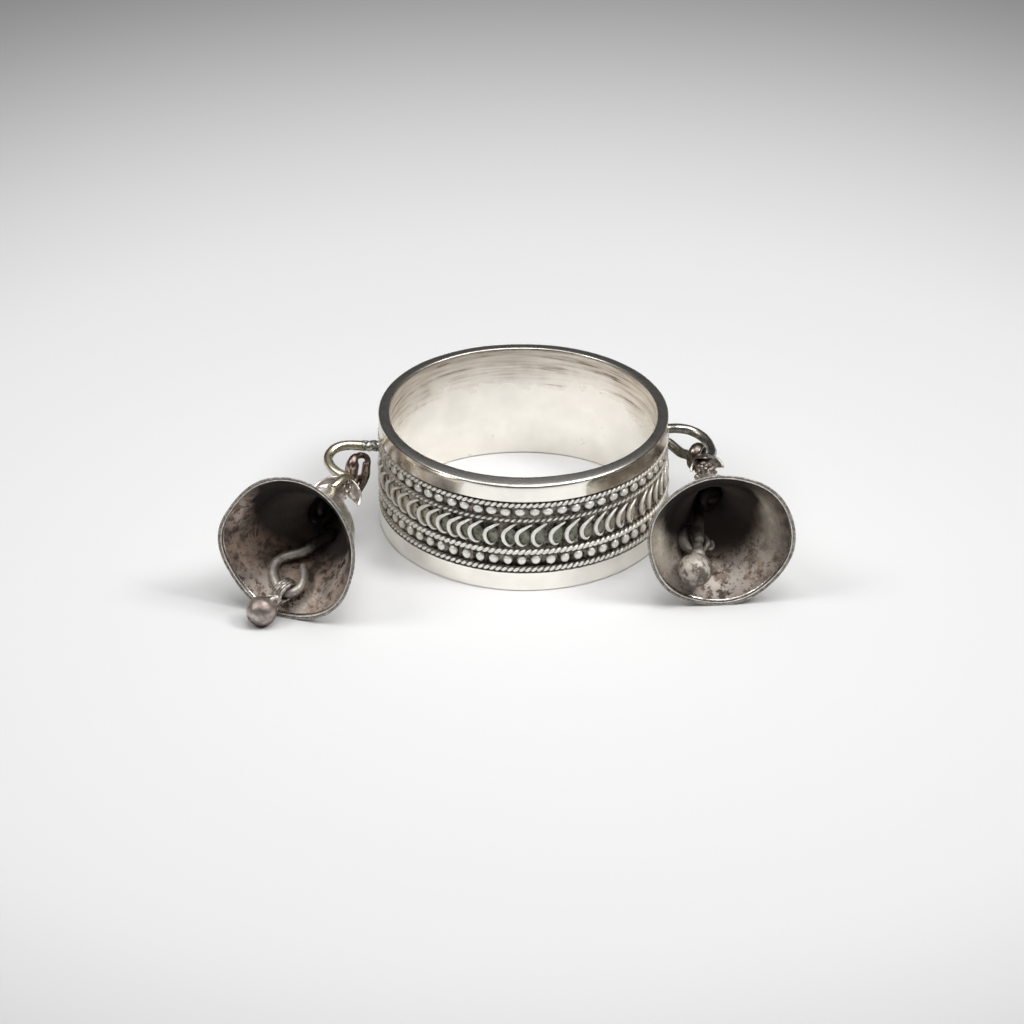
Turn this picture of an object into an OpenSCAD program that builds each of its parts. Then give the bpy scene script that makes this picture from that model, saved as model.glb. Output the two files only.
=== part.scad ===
// Silver finger ring with a filigree frieze and two flared bells, lying on a flat surface.
// The finger hole's axis is Z, the ring's lower edge is z = 0, -Y is the front and +X the right.

/* [Band] */
// Radius of the finger hole
hole_r = 9.7; // [8:0.1:11]
// Radius of the polished collars, at the outside of the band
band_r = 10.5; // [9:0.1:12]
// Height of the band
band_h = 8.8; // [7:0.1:10]
// Height of the lower edge of the sunk ground between the collars
ground_low = 1.45; // [1:0.05:2]
// Height of the upper edge of the sunk ground
ground_high = 7.4; // [7:0.05:7.6]
// Depth of the sunk ground below the collars
ground_depth = 0.3; // [0.1:0.05:0.4]
// Width of the bevels on the outer edges
edge_bevel = 0.2; // [0.1:0.05:0.3]

/* [Frieze] */
// Diameter of the twisted wires that run round the band
rope_d = 0.4; // [0.3:0.05:0.5]
// Diameter of the small balls in the two bead rows
granule_d = 0.7; // [0.5:0.05:0.75]
// Balls in each bead row
granules = 63; // [40:1:66]
// Loops of flat wire in the middle row
loops = 60; // [40:1:64]
// Height of a wire loop
loop_h = 2.0; // [1.6:0.1:2.2]
// Diameter of the loop wire
loop_wire_d = 0.3; // [0.2:0.05:0.4]

/* [Hoops] */
// Diameter of the wire of the two side hoops
hoop_wire_d = 0.7; // [0.5:0.05:0.8]
// Height of the hoops where they meet the band
hoop_z = 6.0; // [5.5:0.1:6.5]
// Radius of the left hook's bend
hook_bend_r = 1.5; // [1.3:0.05:1.6]
// Slope of the left hook, down towards the front
hook_slope = 15; // [5:1:20]
// Radius of the wide bend of the right hoop
wide_bend_r = 2.3; // [2:0.05:2.4]
// Radius of the tight bend of the right hoop
tight_bend_r = 0.95; // [0.9:0.05:1.1]
// Slope of the right hoop, down away from the band
loop_slope = 13; // [5:1:18]

/* [Bells] */
// Radius of the left bell's mouth
left_mouth_r = 5.5; // [4.8:0.05:6]
// Radius of the right bell's mouth
right_mouth_r = 5.3; // [4.8:0.05:6]
// Length of the flared body, mouth to neck
body_l = 9.3; // [8:0.1:10]
// Radius of the neck
neck_r = 0.85; // [0.7:0.05:1]
// Exponent of the flare: 1 is a straight cone
flare = 1.6; // [1.2:0.1:2]
// Thickness of the bell's wall
wall_t = 0.4; // [0.3:0.05:0.5]
// Thickness of the rolled lip
lip_t = 0.56; // [0.4:0.02:0.7]
// Depth of the hollow, mouth to throat
hollow_l = 7.9; // [7:0.1:8.5]

/* [Crown] */
// Distance of the crown's top from the mouth
crown_top = 11.0; // [10.6:0.1:11.4]
// Radius of the stem under the leaves
stem_r = 0.45; // [0.35:0.05:0.6]
// Leaves on the crown
leaves = 4; // [3:1:6]
// Distance of a left leaf's tip from the stem's axis
left_leaf_r = 1.8; // [1.2:0.05:2]
// Distance of a right leaf's tip from the stem's axis
right_leaf_r = 1.35; // [1.2:0.05:2]
// Thickness of the leaf sheet
leaf_t = 0.22; // [0.15:0.01:0.3]
// Balls in the row round the neck
neck_beads = 9; // [6:1:12]
// Diameter of those balls
neck_bead_d = 0.46; // [0.3:0.02:0.5]
// Mean radius of the two-turn bail
bail_r = 0.92; // [0.85:0.01:1]
// Diameter of the bail's wire
bail_wire_d = 0.64; // [0.5:0.02:0.7]

/* [Hangers and clappers] */
// Diameter of the wire inside the bells
hanger_wire_d = 0.54; // [0.45:0.01:0.56]
// Mean radius of the small eyes at the throat
eye_r = 0.66; // [0.6:0.01:0.75]
// Mean half width of the hook at the hanger's lower end
hook_r = 1.0; // [0.9:0.05:1.1]
// Straight length of the hook's side
hook_side = 0.7; // [0.4:0.05:0.9]
// Radius of the left clapper's ball
left_ball_r = 1.1; // [1:0.05:1.25]
// Radius of the right clapper's ball
right_ball_r = 1.2; // [1:0.05:1.25]
// Width of the folded strap of a clapper
strap_w = 0.8; // [0.6:0.05:1]
// Thickness of the strap's metal
strap_t = 0.2; // [0.15:0.01:0.3]

/* [Hidden] */
$fn = 48;
silver = [0.72, 0.70, 0.66];
dark_silver = [0.42, 0.39, 0.36];
brassy = [0.62, 0.56, 0.42];

// Frieze rows: the spaces above the rows of the upper half, and below the rows of the lower half
ground_r = band_r - ground_depth;
rope_r = rope_d / 2;
granule_r = granule_d / 2;
spaces_above = [0.1, 0.02, 0.08];
spaces_below = [0.2, 0.13, 0.14];
top_rope_z = ground_high - spaces_above[0] - rope_r;
top_granule_z = top_rope_z - rope_r - spaces_above[1] - granule_r;
upper_rope_z = top_granule_z - granule_r - spaces_above[2] - rope_r;
low_rope_z = ground_low + spaces_below[0] + rope_r;
low_granule_z = low_rope_z + rope_r + spaces_below[1] + granule_r;
lower_rope_z = low_granule_z + granule_r + spaces_below[2] + rope_r;
loop_z = (upper_rope_z + lower_rope_z) / 2;

// How far the middles of the wires, balls and loops stand out from the ground
rope_out = 0.12;
granule_out = 0.05;
loop_out = 0.06;
loop_start = 100;
loop_sweep = 160;

// Places of the two bells: centre of the mouth, turn of the mouth to the right, tilt of the mouth
left_mouth = [-16.75, -14.1];
left_turn = -21;
left_tilt = 0.6;
right_mouth = [14.08, -12.5];
right_turn = 6;
right_tilt = 0.3;
left_leaf_turn = 14;
right_leaf_turn = -8;

// Places of the bails' centres, and how far each is turned from the X axis
left_bail = [-12.05, -2.77, 5.36];
left_bail_turn = 20;
right_bail = [12.6, -0.36, 5.48];
right_bail_turn = 8;

// The two hoops: centres of their bends, how far these turn, where the wires meet the band, and
// the right hoop's straight leg, a little thinner than the bend that it starts inside
left_bend = [-12.65, -hook_bend_r];
hook_sweep = 230;
tight_bend = [12.65, 0.45];
tight_sweep = 122;
wide_bend = [tight_bend[0] + tight_bend_r - wide_bend_r, tight_bend[1]];
wide_sweep = 130;
leg_overlap = 0.12;
leg_wire_d = hoop_wire_d - 0.04;
root_x = 10.05;
root_cut = 0.2;

// Details of a bell: steps of the flare, shoulder under the stem, lip, sunk balls, leaves, bail
flare_steps = 9;
shoulder_l = 0.25;
lip_l = 0.7;
lip_out = 0.12;
bead_sink = 0.08;
bead_lift = 0.1;
droop_share = 0.75;
leaf_inner_r = 0.75;
bail_stem_r = 0.36;
bail_half_step = 0.307;
eye_post_sink = 0.3;

// Details of a clapper: play of the strap on the hook, radius of the shank, and how far
// the shank starts outside the strap's hole and ends inside the ball
strap_play = 0.2;
shank_r = 0.28;
shank_start = 0.08;
shank_sink = 0.3;
hook_tip_l = 0.3;

// The hangers: distance of the throat eyes from the mouths, and the middle of each hook
throat_eye_l = 6.75;
left_hook = [-16.7, -12.5, 2.6];
right_hook = [12.72, -9.37, 4.45];
left_hanger_roll = 0;
right_hanger_roll = 90;
left_ball = [-18.55, -15.1, left_ball_r];
right_ball = [12.27, -12.33, 2.86];

// Turns and vectors
function turned(v, angle) =
  [v[0] * cos(angle) - v[1] * sin(angle), v[0] * sin(angle) + v[1] * cos(angle), v[2]];
function unit(v) = v / norm(v);
function crown_way(turn, tilt) = turned([0, cos(tilt), -sin(tilt)], turn);
function mouth_at(place, mouth_r, tilt) = [place[0], place[1], mouth_r * cos(tilt)];
function body_r(mouth_r, along) = neck_r + (mouth_r - neck_r) * pow(max(0, 1 - along / body_l), flare);
function without(v, normal) = v - (v * normal) * normal;

// A hanger's eye hangs in the throat eye, one eye radius away in the plane of the throat eye:
// that plane stands upright in the left bell and lies level in the right one
left_way = crown_way(left_turn, left_tilt);
right_way = crown_way(right_turn, right_tilt);
left_throat = mouth_at(left_mouth, left_mouth_r, left_tilt) + throat_eye_l * left_way;
right_throat = mouth_at(right_mouth, right_mouth_r, right_tilt) + throat_eye_l * right_way;
left_eye = left_throat - eye_r * unit(without(left_throat - left_hook, turned([1, 0, 0], left_turn)));
right_eye = right_throat - eye_r * unit(without(right_throat - right_hook, [0, 0, 1]));

// Puts what points along +Z so that it points along a vector, with its X axis kept level
module along_vector(v) {
  rotate([-acos(v[2] / norm(v)), 0, atan2(v[1], v[0]) - 90])
    children();
}

module wire_arc(bend_r, wire_d, start, sweep) {
  rotate([0, 0, start])
    rotate_extrude(angle = sweep)
      translate([bend_r, 0])
        circle(d = wire_d, $fn = 24);
}

module wire_ring(bend_r, wire_d) {
  rotate_extrude()
    translate([bend_r, 0])
      circle(d = wire_d, $fn = 24);
}

// Section of the band: a wall with bevelled outer edges and a sunk ground between two collars
module band_section() {
  polygon([
    [hole_r, 0], [band_r - edge_bevel, 0], [band_r, edge_bevel], [band_r, ground_low],
    [ground_r, ground_low], [ground_r, ground_high], [band_r, ground_high],
    [band_r, band_h - edge_bevel], [band_r - edge_bevel, band_h], [hole_r, band_h]
  ]);
}

module ropes() {
  for (height = [top_rope_z, upper_rope_z, lower_rope_z, low_rope_z])
    translate([0, 0, height])
      wire_ring(ground_r + rope_out, rope_d);
}

module granule_row(height, shift) {
  for (i = [0 : granules - 1])
    rotate([0, 0, (i + shift) * 360 / granules])
      translate([ground_r + granule_out, 0, height])
        sphere(d = granule_d, $fn = 20);
}

// The left-hand arc of each wire loop stands out: one half ring for each, set on the ground
module wire_loops() {
  bend_r = (loop_h - loop_wire_d) / 2;
  for (i = [0 : loops - 1])
    rotate([0, 0, i * 360 / loops])
      translate([ground_r + loop_out, 0, loop_z])
        rotate([90, 0, 90])
          wire_arc(bend_r, loop_wire_d, loop_start, loop_sweep);
}

// The left hoop is a hook: a straight leg from the band, then a bend of more than half a turn
module left_hoop() {
  translate([0, 0, hoop_z])
    rotate([hook_slope, 0, 0]) {
      translate([-root_x, 0, 0])
        rotate([0, -90, 0])
          cylinder(h = -left_bend[0] - root_x, d = hoop_wire_d, $fn = 24);
      translate(left_bend)
        wire_arc(hook_bend_r, hoop_wire_d, 90, hook_sweep);
    }
}

// The right hoop is closed: a wide bend, a tight bend at the end, and a straight leg back
module right_hoop() {
  leg_end = tight_bend + tight_bend_r * [cos(tight_sweep), -sin(tight_sweep)];
  leg_angle = 270 - tight_sweep;
  translate([root_x, 0, hoop_z])
    rotate([0, loop_slope, 0])
      translate([-root_x, 0, 0]) {
        translate(wide_bend)
          wire_arc(wide_bend_r, hoop_wire_d, 0, wide_sweep);
        translate(tight_bend)
          wire_arc(tight_bend_r, hoop_wire_d, -tight_sweep, tight_sweep);
        translate(leg_end)
          rotate([0, 0, leg_angle - 90])
            rotate([-90, 0, 0])
              translate([0, 0, -leg_overlap])
                cylinder(h = leg_overlap + (root_x - leg_end[0]) / cos(leg_angle), d = leg_wire_d, $fn = 24);
      }
}

module ring_band() {
  color(silver) {
    rotate_extrude($fn = 180)
      band_section();
    ropes();
    granule_row(top_granule_z, 0);
    granule_row(low_granule_z, 0.5);
    wire_loops();
  }
  color(brassy)
    difference() {
      union() {
        left_hoop();
        right_hoop();
      }
      cylinder(h = 3 * band_h, r = hole_r + root_cut, center = true, $fn = 180);
    }
}

// Section of a bell: flared wall with a rolled lip, solid throat, neck and stem
module bell_section(mouth_r) {
  outer = [for (i = [0 : flare_steps]) let (along = body_l * i / flare_steps)
    [body_r(mouth_r, along), along]];
  inner = [for (i = [flare_steps : -1 : 0]) let (along = hollow_l * i / flare_steps)
    [body_r(mouth_r, along) - wall_t, along]];
  stem = [[stem_r, body_l + shoulder_l], [stem_r, crown_top], [0, crown_top], [0, hollow_l]];
  union() {
    polygon(concat(outer, stem, inner));
    polygon([
      [mouth_r - lip_t, 0], [mouth_r, 0], [body_r(mouth_r, lip_l) + lip_out, lip_l],
      [body_r(mouth_r, lip_l) - wall_t, lip_l]
    ]);
  }
}

// A thin cone over the stem, cut to a star of leaves
module leaf_crown(leaf_r, turn) {
  droop = leaf_r * droop_share;
  intersection() {
    translate([0, 0, crown_top - leaf_t])
      rotate_extrude()
        polygon([
          [0, 0], [0, leaf_t], [stem_r, leaf_t], [leaf_r, leaf_t - droop], [leaf_r, -droop], [stem_r, 0]
        ]);
    rotate([0, 0, turn])
      linear_extrude(height = 2 * crown_top)
        polygon([for (i = [0 : 2 * leaves - 1])
          let (reach = i % 2 == 0 ? leaf_r : leaf_inner_r, way = i * 180 / leaves)
            reach * [cos(way), sin(way)]]);
  }
}

// The eye inside the throat that carries the hanger
module throat_eye(roll) {
  translate([0, 0, throat_eye_l])
    rotate([90, 0, roll])
      wire_ring(eye_r, hanger_wire_d);
  translate([0, 0, throat_eye_l + eye_r])
    cylinder(h = hollow_l - throat_eye_l - eye_r + eye_post_sink, d = hanger_wire_d, $fn = 24);
}

module bell(place, mouth_r, turn, tilt, leaf_r, leaf_turn, hanger_roll) {
  translate(mouth_at(place, mouth_r, tilt))
    rotate([-90 - tilt, 0, turn]) {
      rotate_extrude($fn = 96)
        bell_section(mouth_r);
      leaf_crown(leaf_r, leaf_turn);
      for (i = [0 : neck_beads - 1])
        rotate([0, 0, i * 360 / neck_beads])
          translate([neck_r - bead_sink, 0, body_l + bead_lift])
            sphere(d = neck_bead_d, $fn = 20);
      throat_eye(hanger_roll + 90);
    }
}

// Two turns of wire side by side round the hoop, on a short stem from the crown
module bail(place, turn, crown) {
  translate(crown)
    along_vector(place - crown)
      cylinder(h = norm(place - crown) - bail_r, r = bail_stem_r, $fn = 24);
  translate(place)
    rotate([0, 90, turn])
      for (side = [-1, 1])
        translate([0, 0, side * bail_half_step])
          wire_ring(bail_r, bail_wire_d);
}

module left_bell() {
  color(dark_silver) {
    bell(left_mouth, left_mouth_r, left_turn, left_tilt, left_leaf_r, left_leaf_turn,
      left_hanger_roll);
    bail(left_bail, left_bail_turn, left_throat + (crown_top - throat_eye_l - leaf_t) * left_way);
  }
}

module right_bell() {
  color(dark_silver) {
    bell(right_mouth, right_mouth_r, right_turn, right_tilt, right_leaf_r, right_leaf_turn,
      right_hanger_roll);
    bail(right_bail, right_bail_turn, right_throat + (crown_top - throat_eye_l - leaf_t) * right_way);
  }
}

// One bent wire: a closed eye, a shank, and an open hook at the lower end
module hanger(eye, hook, roll) {
  reach = norm(eye - hook);
  half = hook_side / 2;
  translate(hook)
    along_vector(eye - hook)
      rotate([0, 0, roll]) {
        translate([0, 0, reach])
          rotate([90, 0, 0])
            wire_ring(eye_r, hanger_wire_d);
        translate([0, 0, half + hook_r])
          cylinder(h = reach - eye_r - half - hook_r, d = hanger_wire_d, $fn = 24);
        rotate([90, 0, 0]) {
          translate([0, half])
            wire_arc(hook_r, hanger_wire_d, 90, 90);
          translate([0, -half])
            wire_arc(hook_r, hanger_wire_d, 180, 180);
        }
        translate([-hook_r, 0, -half])
          cylinder(h = hook_side, d = hanger_wire_d, $fn = 24);
        translate([hook_r, 0, -half])
          cylinder(h = hook_side + hook_tip_l, d = hanger_wire_d, $fn = 24);
      }
}

module left_hanger() {
  color(brassy)
    hanger(left_eye, left_hook, left_hanger_roll);
}

module right_hanger() {
  color(brassy)
    hanger(right_eye, right_hook, right_hanger_roll);
}

// A strap folded round the hook's lowest bar, with a ball soldered to its end
module clapper(eye, hook, roll, ball, ball_r) {
  way = unit(eye - hook);
  bar = hook - (hook_side / 2 + hook_r) * way;
  strap_r = hanger_wire_d / 2 + strap_play;
  reach = norm(ball - bar);
  translate(bar)
    along_vector(eye - hook)
      rotate([0, 90, roll])
        difference() {
          cylinder(h = strap_w, r = strap_r + strap_t, center = true, $fn = 32);
          cylinder(h = 2 * strap_w, r = strap_r, center = true, $fn = 32);
        }
  translate(bar)
    along_vector(ball - bar)
      translate([0, 0, strap_r + shank_start])
        cylinder(h = reach - strap_r - shank_sink, r = shank_r, $fn = 24);
  translate(ball)
    sphere(r = ball_r);
}

module left_clapper() {
  color(dark_silver)
    clapper(left_eye, left_hook, left_hanger_roll, left_ball, left_ball_r);
}

module right_clapper() {
  color(dark_silver)
    clapper(right_eye, right_hook, right_hanger_roll, right_ball, right_ball_r);
}

ring_band();
left_bell();
right_bell();
left_hanger();
right_hanger();
left_clapper();
right_clapper();
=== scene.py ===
import random
from math import atan2, cos, exp, hypot, pi, radians, sin, tau

import bmesh
import bpy
from mathutils import Matrix, Vector


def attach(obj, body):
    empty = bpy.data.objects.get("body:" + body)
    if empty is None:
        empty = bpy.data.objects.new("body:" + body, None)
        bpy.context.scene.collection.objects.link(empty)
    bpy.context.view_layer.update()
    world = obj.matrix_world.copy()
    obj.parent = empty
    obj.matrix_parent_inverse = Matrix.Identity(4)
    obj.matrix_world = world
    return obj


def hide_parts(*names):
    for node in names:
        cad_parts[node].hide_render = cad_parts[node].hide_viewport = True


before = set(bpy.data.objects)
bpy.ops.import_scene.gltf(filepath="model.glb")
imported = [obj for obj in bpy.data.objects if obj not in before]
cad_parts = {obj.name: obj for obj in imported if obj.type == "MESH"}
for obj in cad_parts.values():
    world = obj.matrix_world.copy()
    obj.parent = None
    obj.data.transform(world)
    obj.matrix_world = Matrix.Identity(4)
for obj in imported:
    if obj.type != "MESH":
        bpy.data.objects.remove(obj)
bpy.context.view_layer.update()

bl_info = {
    "name": "Bell ring",
    "version": (1, 0, 0),
    "blender": (4, 5, 0),
    "location": "3D View > Sidebar > Bell ring",
    "description": "A silver finger ring with a filigree frieze and two flared bells, piece by piece",
    "category": "Object",
}

MM = 0.001
SEED = 11
LEFT, RIGHT = "left", "right"
# Points nearer than this in metres are one
SAME_PLACE = 1e-7
# A wire's rounded tip: its reach beyond the end as a share of the thickness, and its share of the width there
TIP_REACH, TIP_WIDTH = 0.22, 0.55
# How far up a surface faces, from -1 to 1, where the underside's tarnish and painted shade start to give way
# and where they are gone
PALER_FROM, PALER_TO = -0.9, 0.5


# Sizes and colours

def length(name, description, size):
    """A length that a user may change, with its default in mm."""
    return bpy.props.FloatProperty(name=name, description=description, default=size * MM, unit="LENGTH")


def count(name, description, number):
    """A count round the band that a user may change."""
    return bpy.props.IntProperty(name=name, description=description, default=number, min=20)


def colour(name, description, tone):
    """A colour that a user may change."""
    return bpy.props.FloatVectorProperty(
        name=name, description=description, default=tone, subtype="COLOR", size=3, min=0, max=1)


class BandSizes(bpy.types.PropertyGroup):
    """Sizes of the band"""
    hole_radius: length("Hole radius", "Radius of the finger hole", 9.7)
    collar_radius: length("Collar radius", "Radius of the polished collars", 10.5)
    height: length("Height", "Height of the band", 8.8)
    ground_low: length("Ground from", "Height of the sunk ground's lower edge", 1.5)
    ground_high: length("Ground to", "Height of the sunk ground's upper edge", 7.32)
    ground_depth: length("Ground depth", "How deep the ground lies", 0.3)
    lean: length("Lean", "How far the left side is pushed back out of round", 0.5)


class FriezeSizes(bpy.types.PropertyGroup):
    """Sizes of the filigree"""
    turns: count("Turns of twist", "Full turns of a twisted wire round the band", 76)
    balls: count("Balls", "Balls in each row", 63)
    ball_diameter: length("Ball diameter", "Diameter of the balls", 0.76)
    loops: count("Loops", "Wire loops in the middle row", 60)
    loop_wire: length("Loop wire", "Diameter of the loop wire", 0.27)


class HoopSizes(bpy.types.PropertyGroup):
    """Sizes of the side hoops and bails"""
    wire: length("Hoop wire", "Diameter of the hoops' wire", 0.72)
    left_bail: length("Left bail", "Thickness of the left bail's strap where its share is 1", 0.58)
    right_bail: length("Right bail", "Thickness of the right bail's strap", 0.5)


class BellSizes(bpy.types.PropertyGroup):
    """Sizes of the bells"""
    left_mouth: length("Left mouth", "Mean radius of the left bell's mouth", 5.44)
    right_mouth: length("Right mouth", "Mean radius of the right bell's mouth", 5.35)
    body: length("Body", "Length from mouth to neck", 9.3)
    neck: length("Neck", "Radius of the neck", 0.74)
    flare: bpy.props.FloatProperty(
        name="Flare", description="Exponent of the flare, 1 for a straight cone",
        default=1.6, min=1.0, max=3.0)
    wall: length("Wall", "Thickness of the wall", 0.4)
    hollow: length("Hollow", "Depth of the hollow", 7.9)
    left_crown: length("Left crown", "Distance of the left crown from the mouth", 11.5)
    right_crown: length("Right crown", "Distance of the right crown from the mouth", 11.9)


class ClapperSizes(bpy.types.PropertyGroup):
    """Sizes of the hangers and clappers"""
    wire: length("Hanger wire", "Diameter of the wire inside the bells", 0.7)
    left_ball: length("Left ball", "Radius of the left clapper's ball", 1.1)
    right_ball: length("Right ball", "Radius of the right clapper's ball", 1.23)


class Finishes(bpy.types.PropertyGroup):
    """Colours of the metals"""
    silver: colour("Silver", "Polished silver", (0.90, 0.865, 0.80))
    oxide: colour("Oxide", "Dark ground of the frieze", (0.11, 0.096, 0.08))
    brass: colour("Brassy wire", "Tint of the hoops and hangers", (0.66, 0.60, 0.46))
    patina: colour("Patina", "Brown inside the bells", (0.12, 0.088, 0.07))
    floor: colour("Floor", "The pale surface below", (0.78, 0.78, 0.78))


# Modelling by hand

def begin():
    """Object mode with nothing selected."""
    if bpy.context.object and bpy.context.object.mode != "OBJECT":
        bpy.ops.object.mode_set(mode="OBJECT")
    bpy.ops.object.select_all(action="DESELECT")


def take(piece):
    """Only this piece selected and active."""
    begin()
    piece.select_set(True)
    bpy.context.view_layer.objects.active = piece


def named(name):
    """Names the active piece and puts its place in its mesh."""
    piece = bpy.context.object
    bpy.ops.object.transform_apply(location=True, rotation=True, scale=True)
    piece.name = piece.data.name = name
    return piece


def in_mm(points):
    """Places given in mm."""
    return [Vector(point) * MM for point in points]


def select_where(test):
    """Selects the vertices of the piece in edit mode whose place passes the test."""
    bpy.ops.mesh.select_all(action="DESELECT")
    mesh = bmesh.from_edit_mesh(bpy.context.object.data)
    for vertex in mesh.verts:
        vertex.select = test(vertex.co)
    mesh.select_flush(True)
    bmesh.update_edit_mesh(bpy.context.object.data)


def closed_up():
    """Merges double points of the piece in edit mode, turns its faces outward and ends edit mode."""
    bpy.ops.mesh.select_all(action="SELECT")
    bpy.ops.mesh.remove_doubles(threshold=SAME_PLACE)
    bpy.ops.mesh.normals_make_consistent(inside=False)
    bpy.ops.object.mode_set(mode="OBJECT")


def turned(name, profile, sides, poles=False):
    """A piece as from a lathe: a circle at the first point, extruded and scaled to each next one.

    It closes on itself, or with poles it ends in a point at each end."""
    begin()
    (radius, height), *rest = profile
    bpy.ops.mesh.primitive_circle_add(vertices=sides, radius=radius, location=(0, 0, height))
    piece = named(name)
    bpy.ops.object.mode_set(mode="EDIT")
    bpy.ops.mesh.select_all(action="SELECT")
    for next_radius, next_height in rest if poles else rest + [profile[0]]:
        bpy.ops.mesh.extrude_region_move(TRANSFORM_OT_translate={"value": (0, 0, next_height - height)})
        scale = next_radius / radius
        if abs(scale - 1) > 1e-6:
            bpy.ops.transform.resize(value=(scale, scale, 1), center_override=(0, 0, next_height))
        radius, height = next_radius, next_height
    if poles:
        for end_radius, end_height in (profile[0], profile[-1]):
            select_where(lambda place: abs(place.z - end_height) < 1e-6
                         and hypot(place.x, place.y) < end_radius * 1.1)
            bpy.ops.mesh.merge(type="COLLAPSE")
    closed_up()
    return piece


def bent_wire(name, points, thick, closed=False, around=3, along=5, widths=None):
    """A round wire bent through points, with a share of its thickness at each point."""
    points = [Vector(p) for p in points]
    widths = list(widths or [1] * len(points))
    if not closed:
        first = (points[0] - points[1]).normalized() * thick * TIP_REACH
        last = (points[-1] - points[-2]).normalized() * thick * TIP_REACH
        points = [points[0] + first, *points, points[-1] + last]
        widths = [widths[0] * TIP_WIDTH, *widths, widths[-1] * TIP_WIDTH]
    begin()
    bpy.ops.curve.primitive_bezier_curve_add()
    curve = bpy.context.object.data
    spline = curve.splines[0]
    spline.bezier_points.add(len(points) - 2)
    for knot, place, width in zip(spline.bezier_points, points, widths):
        knot.co = place
        knot.handle_left_type = knot.handle_right_type = "AUTO"
        knot.radius = width
    spline.use_cyclic_u = closed
    spline.resolution_u = along
    curve.dimensions = "3D"
    curve.bevel_depth = thick / 2
    curve.bevel_resolution = around
    curve.use_fill_caps = True
    bpy.ops.object.convert(target="MESH")
    piece = named(name)
    bpy.ops.object.mode_set(mode="EDIT")
    closed_up()
    return piece


def ball(name, radius, place, segments, rings, shape=(1, 1, 1)):
    """A round bead of cast or melted metal."""
    begin()
    bpy.ops.mesh.primitive_uv_sphere_add(segments=segments, ring_count=rings, radius=radius,
                                         location=place, scale=shape)
    return named(name)


def copied(name, model, places):
    """Copies of a model at each place, joined to one piece. The model goes."""
    begin()
    for place in places:
        twin = model.copy()
        twin.data = model.data.copy()
        twin.data.transform(place)
        bpy.context.collection.objects.link(twin)
        twin.select_set(True)
        bpy.context.view_layer.objects.active = twin
    bpy.ops.object.join()
    bpy.data.objects.remove(model)
    return named(name)


def joined(name, pieces):
    """Several pieces made one."""
    begin()
    for piece in pieces:
        piece.select_set(True)
    bpy.context.view_layer.objects.active = pieces[0]
    bpy.ops.object.join()
    return named(name)


def placed(piece, matrix):
    """Puts a piece that was made at the origin where it belongs, in its mesh."""
    piece.data.transform(matrix)
    return piece


def uneven(piece, size, height, name="Hand work"):
    """Presses the slight waves of hand work into the surface, with their size and height in mm."""
    take(piece)
    waves = bpy.data.textures.new(name, "CLOUDS")
    waves.noise_scale = size * MM
    waves.noise_depth = 2
    press = piece.modifiers.new(name, "DISPLACE")
    press.texture = waves
    press.texture_coords = "LOCAL"
    press.strength = height * MM
    press.mid_level = 0.5
    bpy.ops.object.modifier_apply(modifier=press.name)
    return piece


def marked(piece, name, value):
    """Keeps a number at each point for the material, worked out from the point."""
    layer = piece.data.attributes.new(name, "FLOAT", "POINT")
    layer.data.foreach_set("value", [value(vertex) for vertex in piece.data.vertices])
    return piece


def tarnished_and_shaded_below(piece):
    """Marks where a wire faces down, for tarnish and painted shade on its underside, with its top paler."""
    # Painted shade, with tarnish: the lower a surface faces, the darker its tone
    return marked(piece, "relief",
                  lambda v: min(1, max(0, (v.normal.z - PALER_FROM) / (PALER_TO - PALER_FROM))))


def rested(piece):
    """Lifts a piece so that its lowest point lies on the floor."""
    lowest = min(vertex.co.z for vertex in piece.data.vertices)
    for vertex in piece.data.vertices:
        vertex.co.z -= lowest
    return piece


def leaned(piece):
    """Pushes the left side of a piece on the band back, as the worn band is out of round."""
    lean, radius = bpy.context.scene.band_sizes.lean, bpy.context.scene.band_sizes.collar_radius
    for vertex in piece.data.vertices:
        share = max(0.0, -vertex.co.x / radius)
        vertex.co.y += lean * (hypot(share, 0.15) - 0.15)
    return piece


def finished(piece, node, finish=None, angle=60):
    """Shades a piece, gives it a finish unless it has its own, and ties it to the frame."""
    take(piece)
    bpy.ops.object.shade_smooth_by_angle(angle=radians(angle))
    if finish:
        piece.data.materials.append(finish)
    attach(piece, "root")
    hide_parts(node)
    return piece


# Materials. Sizes and depths are given in mm.

def material(name, metallic):
    """A new node material with a metal's shader. Returns it, its tree and the shader."""
    made = bpy.data.materials.new(name)
    made.use_nodes = True
    shader = made.node_tree.nodes["Principled BSDF"]
    shader.inputs["Metallic"].default_value = metallic
    return made, made.node_tree, shader


def add(tree, kind, values=(), out=0, **settings):
    """Adds a node with numbers or links on its inputs and returns one of its outputs."""
    made = tree.nodes.new(kind)
    for key, value in settings.items():
        setattr(made, key, value)
    for socket, value in dict(values).items():
        if isinstance(value, bpy.types.NodeSocket):
            tree.links.new(value, made.inputs[socket])
        else:
            made.inputs[socket].default_value = value
    return made.outputs[out]


def place_of(tree, stretch=(1, 1, 1)):
    """Object coordinates, squeezed along the axes."""
    here = add(tree, "ShaderNodeTexCoord", out="Object")
    return add(tree, "ShaderNodeMapping", {"Vector": here, "Scale": stretch})


def attribute(tree, name):
    """A number that a piece is marked with."""
    return add(tree, "ShaderNodeAttribute", out="Fac", attribute_name=name)


def cloud(tree, place, size, detail=4.0, rough=0.55):
    """Noise whose spots are about this large."""
    return add(tree, "ShaderNodeTexNoise",
               {"Vector": place, "Scale": 1 / (size * MM), "Detail": detail, "Roughness": rough})


def between(tree, value, low, high, to_low=0.0, to_high=1.0):
    """Maps a value from one range to another and keeps it there."""
    return add(tree, "ShaderNodeMapRange",
               {"Value": value, "From Min": low, "From Max": high, "To Min": to_low, "To Max": to_high})


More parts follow.
